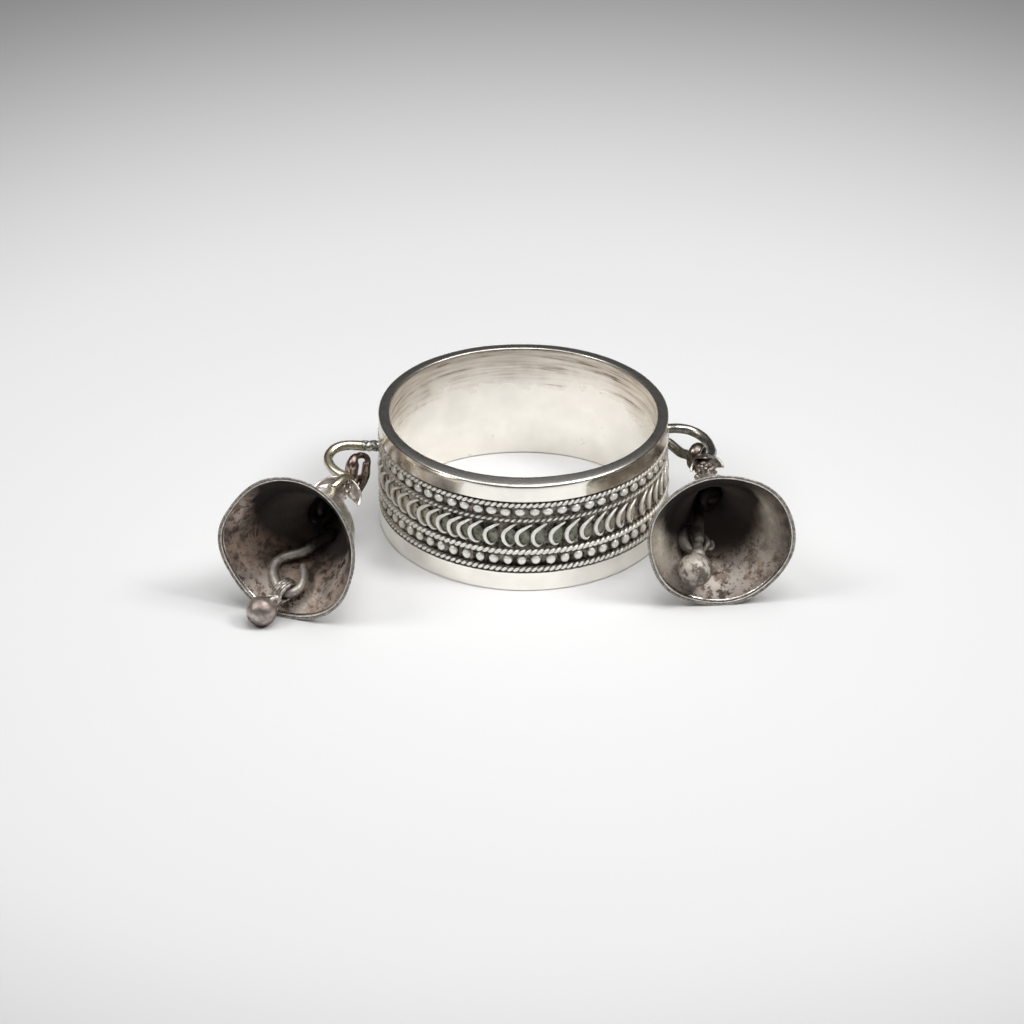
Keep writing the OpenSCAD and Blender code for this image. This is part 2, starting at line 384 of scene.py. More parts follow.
def blend(tree, share, low, high):
    """Mixes two colours."""
    values = {0: share, 6: low, 7: high}
    for key in (6, 7):
        if not isinstance(values[key], bpy.types.NodeSocket):
            values[key] = (*values[key][:3], 1)
    return add(tree, "ShaderNodeMix", values, out=2, data_type="RGBA")


def maths(tree, kind, a, b):
    """One sum of two values."""
    return add(tree, "ShaderNodeMath", {0: a, 1: b}, operation=kind)


def times(tree, a, b):
    """Two values multiplied."""
    return maths(tree, "MULTIPLY", a, b)


def tinted(colour, share):
    """A colour darkened or lightened by a share."""
    return tuple(min(1.0, c * share) for c in colour)


def dress(tree, shader, tone, rough, layers):
    """Puts colour, roughness and bump on the shader. Each layer of bump is a height and its depth."""
    tree.links.new(tone, shader.inputs["Base Color"])
    tree.links.new(rough, shader.inputs["Roughness"])
    normal = None
    for height, depth in layers:
        values = {"Height": height, "Distance": depth * MM, "Strength": 1.0}
        if normal is not None:
            values["Normal"] = normal
        normal = add(tree, "ShaderNodeBump", values)
    tree.links.new(normal, shader.inputs["Normal"])


def gloom(tree, tone, patches, dark=(0.028, 0.023, 0.02)):
    """Darkens a tone beyond the light's reach in a bell."""
    deep = maths(tree, "ADD", attribute(tree, "gloom"), between(tree, patches, 0.3, 0.7, -0.4, 0.4))
    return blend(tree, between(tree, deep, -0.3, 0.7), tone, dark)


def sideways(tree, low, high):
    """Grows from 0 to 1 towards the left and right ends of the band."""
    along = add(tree, "ShaderNodeSeparateXYZ", {"Vector": place_of(tree)}, out="X")
    return between(tree, maths(tree, "ABSOLUTE", along, 0.0), low * MM, high * MM)


def metal(name, pale, dark, spot, gloss, dull, grain_depth, grain=0.12, metallic=1.0, stretch=(1, 1, 1),
          contrast=(0.35, 0.68), relief=None, edge=(0.3, 0.85), ragged=0.22, ends=None, deep=False):
    """A worn metal, made at its first use: patches of a pale and a dark tone, dull where dark, with grain.

    relief is the tone of the recesses, and of the tarnish and painted shade under a wire, for pieces marked
    with their relief, edge the range of the relief in which it gives way and ragged how unevenly. ends is the
    tone towards the band's ends. deep paints shade on what lies beyond the light's reach in a bell, for
    pieces marked with their gloom."""
    if name in bpy.data.materials:
        return bpy.data.materials[name]
    made, tree, shader = material(name, metallic)
    here = place_of(tree)
    patches = cloud(tree, place_of(tree, stretch), spot)
    share = between(tree, patches, *contrast)
    tone = blend(tree, share, dark, pale)
    polish = share
    if relief is not None:
        rough = between(tree, cloud(tree, here, 0.25), 0.3, 0.7, -ragged, ragged)
        shown = between(tree, maths(tree, "ADD", attribute(tree, "relief"), rough), *edge)
        tone = blend(tree, shown, relief, tone)
        polish = times(tree, shown, share)
    if deep:
        tone = gloom(tree, tone, patches)
    if ends is not None:
        worn = times(tree, sideways(tree, 5.5, 9.5), between(tree, patches, 0.3, 0.6, 0.45, 0.9))
        tone = blend(tree, worn, tone, ends)
    fine = cloud(tree, here, grain, 6.0, 0.6)
    dress(tree, shader, tone, between(tree, polish, 0, 1, dull, gloss),
          [(fine, grain_depth), (patches, spot * 0.02)])
    return made


def wire_finish(name, pale, dark, **how):
    """A worn wire, with tarnish and painted shade on its underside."""
    look = {"spot": 0.9, "gloss": 0.2, "dull": 0.36, "grain_depth": 0.003, "edge": (0.1, 0.6),
            "relief": (0.09, 0.072, 0.056)}
    return metal(name, pale, dark, **{**look, **how})


# The band

def band_profile(sizes):
    """Section of the band, as radius and height, from the inner wall's foot round to the foot."""
    high, inner, outer = sizes.height, sizes.hole_radius, sizes.collar_radius
    lower, upper = sizes.ground_low, sizes.ground_high
    ground = outer - sizes.ground_depth
    wall = [(inner, high * (0.01 + 0.96 * step / 16)) for step in range(17)]
    top = [(inner + across * MM, high - down * MM) for across, down in
           ((0.015, 0.1), (0.045, 0.04), (0.09, 0.01), (0.16, 0), (0.3, 0), (0.45, 0.003), (0.58, 0.012),
            (0.7, 0.036), (0.765, 0.075))]
    collar = [(outer, high - down * MM) for down in (0.13, 0.6, 1.0)]
    collar += [(outer, upper + 0.03 * MM), (outer - 0.03 * MM, upper)]
    sunk = [(ground, upper - 0.02 * MM)]
    sunk += [(ground, upper + (lower - upper) * step / 12) for step in range(1, 12)]
    sunk += [(ground, lower + 0.02 * MM)]
    foot = [(outer - 0.03 * MM, lower), (outer, lower - 0.03 * MM)]
    foot += [(outer, up * MM) for up in (1.0, 0.55, 0.14)]
    foot += [(outer - 0.05 * MM, 0.03 * MM), (outer - 0.13 * MM, 0), (inner + 0.07 * MM, 0)]
    return wall + top + collar + sunk + foot


def height_of(tree):
    """Height above the floor."""
    return add(tree, "ShaderNodeSeparateXYZ", {"Vector": place_of(tree)}, out="Z")


def inner_wall_finish(silver):
    """Ivory silver, with dusky turning marks in the upper third of the hole's wall."""
    made, tree, shader = material("Worn inner wall", 1.0)
    here = place_of(tree)
    lines = cloud(tree, place_of(tree, (0.1, 0.1, 1.9)), 0.5, 5.0, 0.62)
    patches = cloud(tree, here, 2.4, 3.0)
    tone = blend(tree, between(tree, patches, 0.3, 0.7), tinted(silver, 0.93), tinted(silver, 1.07))
    shift = between(tree, patches, 0.3, 0.7, -1.0 * MM, 1.0 * MM)
    high = between(tree, maths(tree, "ADD", height_of(tree), shift), 5.6 * MM, 7.4 * MM)
    dusk = times(tree, high, between(tree, lines, 0.36, 0.66, 0.25, 1.0))
    tone = blend(tree, dusk, tone, (0.50, 0.43, 0.37))
    tone = blend(tree, times(tree, high, between(tree, lines, 0.60, 0.68)), tone, (0.22, 0.18, 0.15))
    flecks = times(tree, between(tree, cloud(tree, here, 0.7, 5.0), 0.66, 0.74),
                   between(tree, patches, 0.45, 0.6))
    tone = blend(tree, flecks, tone, (0.45, 0.40, 0.35))
    dress(tree, shader, tone, between(tree, dusk, 0, 1, 0.26, 0.4),
          [(lines, 0.012), (cloud(tree, here, 0.15), 0.002)])
    return made


def collar_finish(silver):
    """Polished silver, a warmer brown towards the ends of the upper collar."""
    made, tree, shader = material("Polished silver", 1.0)
    here = place_of(tree)
    patches = cloud(tree, here, 2.2)
    tone = blend(tree, between(tree, patches, 0.35, 0.68), tinted(silver, 0.98), tinted(silver, 1.12))
    upper = between(tree, height_of(tree), 6.5 * MM, 7.5 * MM, 0.08, 1.0)
    warm = times(tree, times(tree, sideways(tree, 4.0, 7.0), upper),
                 between(tree, cloud(tree, here, 1.3), 0.32, 0.6, 0.35, 0.9))
    tone = blend(tree, warm, tone, (0.44, 0.36, 0.275))
    dress(tree, shader, tone, between(tree, warm, 0, 1, 0.13, 0.26),
          [(cloud(tree, here, 0.12), 0.0008), (patches, 0.01)])
    return made


def ground_finish(oxide):
    """The sunk ground: oxide with grains of silver, paler with polish left in it at the sides."""
    made, tree, shader = material("Oxidised ground", 0.8)
    here = place_of(tree)
    grains = cloud(tree, here, 0.3, 5.0, 0.65)
    tone = blend(tree, between(tree, grains, 0.40, 0.62), oxide, (0.55, 0.50, 0.43))
    tone = blend(tree, between(tree, sideways(tree, 5.0, 9.0), 0, 1, 0, 0.5), tone, (0.40, 0.36, 0.29))
    dress(tree, shader, tone, between(tree, grains, 0.3, 0.7, 0.6, 0.35),
          [(grains, 0.09), (cloud(tree, here, 0.1), 0.02)])
    return made


class BELLRING_OT_band(bpy.types.Operator):
    """Band: inner wall, flat rim, two polished collars and the sunk dark ground"""
    bl_idname = "bellring.band"
    bl_label = "Band"

    # Where the strip's ends were joined, at the front: extra wall, and wear of the outer rim 1 mm out
    seam, wear = 0.36 * MM, 0.24 * MM

    def execute(self, context):
        sizes, colours = context.scene.band_sizes, context.scene.finishes
        band = turned("band", band_profile(sizes), 256)
        rim = metal("Brushed rim", tinted(colours.silver, 0.88), tinted(colours.silver, 0.5), spot=1.0,
                    gloss=0.24, dull=0.36, grain=0.1, grain_depth=0.003)
        for finish in (collar_finish(colours.silver), inner_wall_finish(colours.silver),
                       ground_finish(colours.oxide), rim):
            band.data.materials.append(finish)
        for face in band.data.polygons:
            face.material_index = self.finish_at(sizes, hypot(face.center.x, face.center.y), face.center.z)
        for vertex in band.data.vertices:
            across = hypot(vertex.co.x, vertex.co.y)
            front = max(0.0, -vertex.co.y / across)
            if vertex.co.z > sizes.height - 0.2 * MM:
                vertex.co.z -= self.wear * front ** 2 * max(0, (across - sizes.hole_radius) / MM) ** 1.7
            if across < sizes.hole_radius + 0.5 * MM:
                share = 1 - self.seam * front ** 3 / across
                vertex.co.x *= share
                vertex.co.y *= share
        uneven(band, 3.5, 0.035, "Band waves")
        finished(rested(leaned(band)), "ring_band", angle=30)
        return {"FINISHED"}

    def finish_at(self, sizes, across, height):
        """Which finish a face has: 0 on the collars, 1 on the inner wall, 2 on the ground, 3 on the rim."""
        inside = across < sizes.hole_radius + 0.012 * MM
        if not inside and sizes.ground_low - 0.02 * MM < height < sizes.ground_high + 0.02 * MM:
            return 2
        if inside and height < sizes.height - 0.05 * MM:
            return 1
        return 3 if height > sizes.height - 0.08 * MM else 0


# The frieze

# How far the filigree stands out of the ground
RELIEF = 0.36 * MM


def ground_radius():
    """Radius of the sunk ground."""
    sizes = bpy.context.scene.band_sizes
    return sizes.collar_radius - sizes.ground_depth


def frieze_finish(name, edge, oxide=1.0, ragged=0.12):
    """Silver that is bright on top and dark in the recesses, duller towards the band's ends."""
    colours = bpy.context.scene.finishes
    return metal(name, tinted(colours.silver, 1.2), tinted(colours.silver, 1.0), spot=0.6, gloss=0.24,
                 dull=0.45, grain=0.06, grain_depth=0.004, metallic=0.35, ends=(0.45, 0.41, 0.34),
                 relief=tinted(colours.oxide, oxide), edge=edge, ragged=ragged)


def on_frieze(piece, finish):
    """Marks how far a piece stands out of the ground, leans it with the band and finishes it."""
    ground = ground_radius()
    marked(piece, "relief", lambda v: min(1, max(0, (hypot(v.co.x, v.co.y) - ground) / RELIEF)))
    return finished(leaned(piece), "ring_band", finish)


class BELLRING_OT_twists(bpy.types.Operator):
    """Twisted wires: four two-strand ropes soldered round the band"""
    bl_idname = "bellring.twists"
    bl_label = "Twisted wires"

    # Height, radius round the band, reach of the twist and radius of a strand in mm, and its start in turns
    rows = (("rope_top", 7.02, 10.34, 0.104, 0.130, 0.00), ("rope_upper", 5.79, 10.345, 0.080, 0.100, 0.35),
            ("rope_lower", 3.20, 10.35, 0.118, 0.142, 0.15), ("rope_low", 1.76, 10.33, 0.108, 0.132, 0.60))

    def execute(self, context):
        turns = context.scene.frieze_sizes.turns
        for name, *rope, phase in self.rows:
            strands = [self.strand(turns, *rope, start) for start in (phase, phase + 0.5)]
            on_frieze(joined(name, strands), frieze_finish("Twisted silver", (0.68, 0.88), ragged=0.07))
        return {"FINISHED"}

    def strand(self, turns, height, radius, reach, strand, phase):
        """One wire of a rope: a spring that closes on itself."""
        steps = turns * 10
        points = []
        for step in range(steps):
            way, roll = tau * step / steps, tau * (turns * step / steps + phase)
            across = (radius + reach * cos(roll)) * MM
            points.append((across * cos(way), across * sin(way), (height + reach * sin(roll)) * MM))
        return bent_wire("strand", points, 2 * strand * MM, closed=True, around=2, along=1)


class BELLRING_OT_grains(bpy.types.Operator):
    """Ball rows: one row of soldered balls above the loops and one below"""
    bl_idname = "bellring.grains"
    bl_label = "Ball rows"

    # Height in mm, shift along the row in balls, and how broad the balls are
    rows = (("balls_top", 6.42, 0.0, 1.05), ("balls_low", 2.49, 0.15, 0.92))

    def execute(self, context):
        sizes = context.scene.frieze_sizes
        centre = ground_radius() + 0.10 * MM
        chance = random.Random(SEED)
        for name, height, shift, wide in self.rows:
            model = ball("bead", sizes.ball_diameter / 2, (0, 0, 0), 16, 10)
            places = []
            for step in range(sizes.balls):
                way = tau * (step + shift + chance.uniform(-0.04, 0.04)) / sizes.balls
                stretch = Matrix.Diagonal((chance.uniform(0.56, 0.68), chance.uniform(0.88, 1.0) * wide,
                                           chance.uniform(0.82, 0.9) / wide, 1))
                spot = Vector((centre * cos(way), centre * sin(way),
                               height * MM + chance.uniform(-0.03, 0.03) * MM))
                places.append(Matrix.Translation(spot) @ Matrix.Rotation(way, 4, "Z") @ stretch)
            on_frieze(copied(name, model, places), frieze_finish("Ball silver", (-0.05, 0.22)))
        return {"FINISHED"}


class BELLRING_OT_loops(bpy.types.Operator):
    """Wire loops: a flattened coil whose left arcs stand out and whose backs sink into the ground"""
    bl_idname = "bellring.loops"
    bl_label = "Wire loops"

    # Height of the row's middle
    middle = 4.46 * MM
    # Along the band, up, out of the ground in mm, and share of the wire's width
    arc = ((1.0, 1.02, 0.12, 0.5), (0.76, 0.91, 0.18, 0.72), (0.46, 0.68, 0.22, 0.92),
           (0.21, 0.48, 0.25, 1.05), (0.05, 0.24, 0.27, 1.15), (0.0, 0.0, 0.28, 1.2),
           (0.03, -0.29, 0.27, 1.12), (0.13, -0.53, 0.25, 1.0), (0.27, -0.71, 0.21, 0.82),
           (0.44, -0.82, 0.15, 0.62), (0.62, -0.80, 0.08, 0.42), (0.80, -0.62, 0.02, 0.3))
    # Where the loops of the front stand, in degrees to the right of the middle
    front = (-64.8, -58.8, -52.4, -46.1, -41.2, -36.2, -31.0, -26.6, -21.8, -15.5, -8.2, -2.7, 3.6, 10.7,
             17.2, 23.5, 29.7, 35.0, 40.6, 46.2, 54.2, 59.5, 65.7)

    def execute(self, context):
        sizes, ground = context.scene.frieze_sizes, ground_radius()
        chance = random.Random(SEED + 1)
        rest = sizes.loops - len(self.front)
        gap = (360 - (self.front[-1] - self.front[0])) / (rest + 1)
        ways = list(self.front) + [self.front[-1] + gap * (k + 1 + chance.uniform(-0.12, 0.12))
                                   for k in range(rest)]
        points = [self.point(ground, *place) for *place, _ in self.arc]
        model = bent_wire("loop", points, sizes.loop_wire, around=2, along=2, widths=[a[3] for a in self.arc])
        dish = ball("hollow", 1 * MM, (ground - 0.01 * MM, 0.5 * MM, 4.4 * MM), 16, 8, (0.1, 0.48, 0.72))
        centre = Vector((ground, 0.3 * MM, self.middle))
        places = []
        for way in ways:
            rock = Matrix.Rotation(radians(chance.uniform(-4, 4)), 4, "X")
            stretch = Matrix.Diagonal((1, chance.uniform(0.94, 1.04), chance.uniform(0.95, 1.03), 1))
            sway = Matrix.Translation(centre) @ rock @ stretch @ Matrix.Translation(-centre)
            places.append(Matrix.Rotation(radians(way - 90), 4, "Z") @ sway)
        on_frieze(copied("loops", model, places), frieze_finish("Loop silver", (0.1, 0.5), 1.4))
        finished(leaned(copied("loop_hollows", dish, places)), "ring_band", self.bloom())
        return {"FINISHED"}

    def point(self, ground, along, up, out):
        """A point of a loop that stands at the +X side of the band."""
        way, across = along * MM / ground, ground + 0.85 * out * MM
        return across * cos(way), across * sin(way), self.middle + (0.95 if up > 0 else 1) * up * MM

    def bloom(self):
        """Grey-green tarnish in the loops' hollows, beige at the band's ends."""
        made, tree, shader = material("Grey bloom", 0.6)
        here = place_of(tree)
        patches = cloud(tree, here, 0.45, 5.0, 0.6)
        tone = blend(tree, between(tree, patches, 0.35, 0.65), (0.11, 0.115, 0.088), (0.28, 0.285, 0.225))
        tone = blend(tree, between(tree, sideways(tree, 4.5, 7.5), 0, 1, 0, 0.75), tone, (0.50, 0.44, 0.35))
        specks = between(tree, cloud(tree, here, 0.3, 5.0), 0.58, 0.64)
        dress(tree, shader, blend(tree, specks, tone, (0.08, 0.07, 0.055)),
              between(tree, patches, 0.3, 0.7, 0.6, 0.4), [(patches, 0.03)])
        return made


# Hoops and solder

class BELLRING_OT_hoops(bpy.types.Operator):
    """Side hoops: an open hook at the left, a closed loop at the right, and the solder at their roots"""
    bl_idname = "bellring.hoops"
    bl_label = "Side hoops"

    # Points of the wires in mm
    left = ((-9.95, 0.08, 6.02), (-10.69, 0.08, 6.02), (-11.61, 0.08, 6.02), (-12.3, 0.14, 6.03),
            (-12.82, 0.12, 6.03), (-13.48, -0.09, 5.98), (-13.94, -0.54, 5.86), (-14.15, -1.14, 5.69),
            (-14.03, -1.74, 5.53), (-13.73, -2.28, 5.39), (-13.13, -2.83, 5.24), (-12.6, -3.05, 5.17),
            (-12.1, -3.1, 5.15))
    right = ((9.95, 2.6, 6.0), (10.54, 2.87, 5.89), (11.13, 3.17, 5.75), (11.74, 3.3, 5.61),
             (12.15, 3.28, 5.51), (12.59, 3.08, 5.41), (12.95, 2.78, 5.33), (13.29, 2.3, 5.25),
             (13.51, 1.8, 5.2), (13.64, 1.19, 5.17), (13.69, 0.54, 5.16), (13.5, -0.1, 5.2),
             (13.05, -0.63, 5.3), (12.6, -0.86, 5.4), (12.29, -0.81, 5.48), (11.96, -0.5, 5.56),
             (11.41, 0.15, 5.43), (11.01, 0.7, 5.5), (10.66, 1.1, 5.6), (10.3, 1.3, 5.7), (9.95, 1.38, 5.75))
    # The sleeve of solder round the left hook's leg, and the drops on each side: place, radius and shape
    sleeve = (-10.35, 0.08, 6.02), (-11.0, 0.08, 6.02), (-11.7, 0.08, 6.02)
    left_drops = (((-10.38, 0.08, 6.0), 0.46, (0.5, 1, 1)), ((-11.38, 0.0, 6.36), 0.14, (1.2, 1, 1)),
                  ((-9.98, -2.3, 5.9), 0.3, (0.6, 1, 1.5)))
    right_drops = ((10.2, 2.62, 5.98), 0.42, (0.45, 1, 1)), ((10.37, 1.32, 5.72), 0.40, (0.45, 1.1, 1))

    def execute(self, context):
        thick, brass = context.scene.hoop_sizes.wire, context.scene.finishes.brass
        silver = context.scene.finishes.silver
        pale = wire_finish("Left hoop silver", tinted(brass, 1.35), tinted(brass, 0.7), spot=0.8)
        grey = wire_finish("Right hoop silver", (0.66, 0.64, 0.58), (0.15, 0.13, 0.11), spot=1.1,
                           edge=(0.25, 0.8))
        for name, path, finish in (("left_hoop", self.left, pale), ("right_hoop", self.right, grey)):
            hoop = bent_wire(name, in_mm(path), thick, around=4, along=4)
            finished(tarnished_and_shaded_below(uneven(hoop, 0.9, 0.05)), "ring_band", finish, 50)
        rough = metal("Solder", tinted(silver, 0.6), tinted(silver, 0.14), spot=0.22, gloss=0.45, dull=0.6,
                      grain=0.1, grain_depth=0.02, contrast=(0.42, 0.56))
        sleeve = bent_wire("sleeve", in_mm(self.sleeve), 0.76 * MM, around=6, along=14)
        drops = [self.drop(*spot) for spot in self.left_drops]
        lumps = joined("left_solder", [uneven(sleeve, 0.22, 0.24, "Solder sleeve"), *drops])
        finished(lumps, "ring_band", rough)
        lumps = joined("right_solder", [self.drop(*spot) for spot in self.right_drops])
        finished(lumps, "ring_band", rough)
        return {"FINISHED"}

    def drop(self, place, size, shape):
        """A drop of solder."""
        begin()
        bpy.ops.mesh.primitive_ico_sphere_add(subdivisions=4, radius=size * MM, location=Vector(place) * MM,
                                              scale=shape)
        return uneven(named("lump"), 0.35, 0.25 * size, "Solder lumps")


# Bells

# Mouth's centre and height in mm, turn to the right and tilt of each bell in degrees
PLACES = {LEFT: ((-16.749, -14.137, 5.657), -21.0, 2.2), RIGHT: ((14.076, -12.512, 5.377), 5.2, 0.3)}
# How far each mouth is out of round: cosine and sine shares for two to six waves round it
WAVES = {
    LEFT: (-0.0439, 0.0182, -0.0216, -0.0048, 0.0058, 0.0005, -0.0067, 0.0021, 0.0061, 0.0038),
    RIGHT: (-0.0022, 0.0064, 0.0059, 0.0045, -0.0032, -0.0007, 0.0022, 0.0016, -0.0002, -0.0073),
}
# Stains inside, and painted light where the wall is lit (band): which, degrees round from the bell's right,
# spread, depth in mm, spread, strength
STAINS_AND_LIGHT = {
    LEFT: (("tan", 205, 34, 1.2, 1.2, 0.6), ("pale", 262, 38, 0.9, 1.0, 1.0),
           ("tan", 264, 46, 1.4, 1.5, 1.0), ("pale", 335, 28, 1.8, 1.0, 0.7),
           ("pale", 150, 24, 0.6, 0.9, 0.6), ("tan", 300, 30, 0.8, 0.9, 0.8)),
    RIGHT: (("band", 16, 50, 1.7, 0.75, 1.0), ("band", 188, 30, 0.8, 0.8, 1.0),
            ("pale", 262, 58, 1.5, 1.3, 1.0), ("tan", 318, 30, 1.3, 0.9, 1.0),
            ("tan", 265, 60, 2.2, 1.2, 0.8), ("pale", 328, 26, 1.9, 0.8, 0.9)),
}
# How deep in mm the light reaches: mean, how much more on one side, which side in degrees, and at most
LIGHT = {LEFT: (1.9, 2.4, 262, 4.3), RIGHT: (2.4, 3.3, 290, 3.1)}


def bell_frame(side):
    """Matrix from a bell's own frame, mouth at the origin and crown along +Z, to its place."""
    place, turn, tilt = PLACES[side]
    return Matrix.Translation(Vector(place) * MM) \
        @ Matrix.Rotation(radians(turn), 4, "Z") @ Matrix.Rotation(radians(-90 - tilt), 4, "X")


def body_radius(sizes, mouth, along):
    """Radius of a bell's outer wall at a distance from the mouth."""
    return sizes.neck + (mouth - sizes.neck) * max(0, 1 - along / sizes.body) ** sizes.flare


def bell_profile(sizes, mouth, crown):
    """Section of a bell from the top of the stem down the outside, over the lip and up the inside."""
    stem = [(across * MM, crown - down * MM) for across, down in ((0.02, 0.1), (0.36, 0.12), (0.42, 0.3))]
    stem += [(across * MM, sizes.body + up * MM) for across, up in
             ((0.46, 0.9), (0.5, 0.3), (0.64, 0.14), (0.73, 0.06))]
    outer = [(body_radius(sizes, mouth, sizes.body * share), sizes.body * share)
             for share in (1.0, 0.97, 0.94, 0.9, 0.85, 0.8, 0.74, 0.68, 0.62, 0.56, 0.5, 0.44, 0.38, 0.32,
                           0.26, 0.21, 0.16, 0.12, 0.085, 0.06)]
    lip = [(mouth - down * MM, along * MM) for down, along in
           ((0.22, 0.4), (0.09, 0.2), (0.02, 0.09), (0.0, 0.04), (0.03, 0.0), (0.08, 0.0), (0.13, 0.012),
            (0.165, 0.07), (0.2, 0.075), (0.215, 0.03), (0.235, 0.005), (0.27, 0.005), (0.295, 0.04),
            (0.31, 0.12), (0.36, 0.3))]
    inner = [(body_radius(sizes, mouth, sizes.hollow * share) - sizes.wall, sizes.hollow * share)
             for share in (0.085, 0.14, 0.2, 0.27, 0.34, 0.42, 0.5, 0.58, 0.66, 0.74, 0.82, 0.9, 0.96)]
    throat = [(0.35 * MM, sizes.hollow), (0.02 * MM, sizes.hollow + 0.02 * MM)]
    return stem + outer + lip + inner + throat


def stained_finish(side):
    """Brown tarnish inside a bell with pale and tan stains and turning marks, painted light on its lit walls,
    and painted shade near black in its depth.
    """
    brown = bpy.context.scene.finishes.patina
    worn, crusted = {LEFT: ((0.32, 0.215, 0.17), (0.84, 0.755, 0.67)),
                     RIGHT: (tinted(brown, 1.2), (0.66, 0.595, 0.53))}[side]
    made, tree, shader = material(f"{side.title()} bell inside", 0.4)
    here = place_of(tree)
    blots, crusts, specks, fine = (cloud(tree, here, size, 8.0, rough)
                                   for size, rough in ((1.3, 0.65), (1.0, 0.72), (0.45, 0.7), (0.16, 0.6)))
    depth = attribute(tree, "depth")
    turns = add(tree, "ShaderNodeCombineXYZ", {0: depth, 1: attribute(tree, "way")})
    lines = add(tree, "ShaderNodeTexNoise", {"Vector": turns, "Scale": 3.2, "Detail": 5.0, "Roughness": 0.6})
    tone = blend(tree, between(tree, blots, 0.43, 0.57), tinted(brown, 0.35), worn)
    tan = times(tree, attribute(tree, "tan"), between(tree, blots, 0.38, 0.56, 0.25, 1.0))
    tone = blend(tree, tan, tone, (0.46, 0.345, 0.275))
    tone = blend(tree, between(tree, lines, 0.54, 0.62, 0, 0.75), tone, tinted(brown, 0.45))
    crust = times(tree, attribute(tree, "pale"), between(tree, crusts, 0.45, 0.51))
    tone = blend(tree, crust, tone, crusted)
    tone = blend(tree, between(tree, specks, 0.56, 0.61, 0, 0.7), tone, tinted(brown, 0.4))
    # Painted light: the walls where the light falls, marked band, are paler and mottled
    painted_light_tone = blend(tree, between(tree, specks, 0.35, 0.65), (0.50, 0.45, 0.37), (0.78, 0.71, 0.60))
    tone = blend(tree, attribute(tree, "band"), tone, painted_light_tone)
    tone = blend(tree, between(tree, fine, 0.62, 0.7, 0, 0.5), tone, (0.56, 0.49, 0.41))
    # Painted shade: the tone beyond the light's reach, near black, browner from 2 to 6 mm deep
    dark = blend(tree, between(tree, depth, 2.0, 6.0), (0.024, 0.019, 0.017), (0.21, 0.17, 0.15))
    dress(tree, shader, gloom(tree, tone, blots, dark), between(tree, blots, 0.3, 0.7, 0.45, 0.62),
          [(blots, 0.06), (crusts, 0.05), (lines, 0.02), (fine, 0.012)])
    shader.inputs["Specular IOR Level"].default_value = 0.2
    return made


def bell_finishes(side):
    """Outside, lip, inside and the lip's inner edge of a bell."""
    silver = bpy.context.scene.finishes.silver
    outside = metal("Bell outside", tinted(silver, 0.98), (0.20, 0.17, 0.15), spot=0.7, gloss=0.24, dull=0.42,
                    grain_depth=0.006, stretch=(1, 0.22, 1), contrast=(0.33, 0.54))
    lip = metal("Bell lip", (0.50, 0.465, 0.435), (0.16, 0.14, 0.125), spot=0.22, gloss=0.42, dull=0.55,
                grain_depth=0.03, metallic=0.7)
    edge = metal("Bell edge", tinted(silver, 1.0), tinted(silver, 0.55), spot=0.35, gloss=0.5, dull=0.6,
                 grain_depth=0.01, metallic=0.4)
    return outside, lip, stained_finish(side), edge


def light_at(side, way):
    """How deep the light reaches into a bell at a way round it, in mm."""
    mean, more, towards, most = LIGHT[side]
    return min(most, mean + more * cos(way - radians(towards)))


def shaded(piece, side, reach):
    """Marks how far the points of a piece in a bell lie beyond the light's reach in mm."""
    back = bell_frame(side).inverted()
    return marked(piece, "gloom", lambda v: (back @ v.co).z / MM - reach)


def way_round(place):
    """The way of a place round a bell's own axis, from the bell's right over its top."""
    return atan2(-place.y, place.x)


def turn_from(way, degrees):
    """How far a way lies from another one, given in degrees."""
    return (way - radians(degrees) + pi) % tau - pi


def stain_and_light_patch(place, way, spread, depth, span, strength):
    """How strong a stain, and likewise a patch of painted light, is at a place in a bell."""
    turn = turn_from(way_round(place), way)
    return strength * exp(-(turn / radians(spread)) ** 2 - ((place.z / MM - depth) / span) ** 2)


def flexed(piece, side, sizes):
    """Presses a bell out of round, most at the mouth, and marks its depth, its painted shade beyond the
    light's reach, its stains and the painted light on its lit walls.
    """
    for vertex in piece.data.vertices:
        across, along, way = hypot(vertex.co.x, vertex.co.y), vertex.co.z, way_round(vertex.co)
        waves = sum(share * (sin if odd % 2 else cos)((odd // 2 + 2) * way)
                    for odd, share in enumerate(WAVES[side]))
        push = 1 + max(0, 1 - along / sizes.body) * waves
        if side == LEFT and across > 0.6 * MM:
            # The left bell's flare is fuller towards the band
            swell = sin(pi * min(1, max(0, along / (8.6 * MM)))) ** 1.5
            push += 0.95 * MM * exp(-(turn_from(way, 10) / radians(50)) ** 2) * swell / across
        vertex.co.x *= push
        vertex.co.y *= push
    marked(piece, "depth", lambda v: v.co.z / MM)
    marked(piece, "way", lambda v: abs(way_round(v.co)))
    marked(piece, "gloom", lambda v: v.co.z / MM - light_at(side, way_round(v.co)))
    # band marks the painted light on the lit walls; tan and pale mark stains
    for kind in ("tan", "pale", "band"):
        spots = [spot[1:] for spot in STAINS_AND_LIGHT[side] if spot[0] == kind]
        marked(piece, kind, lambda v: min(1, sum(stain_and_light_patch(v.co, *spot) for spot in spots)))
    return piece


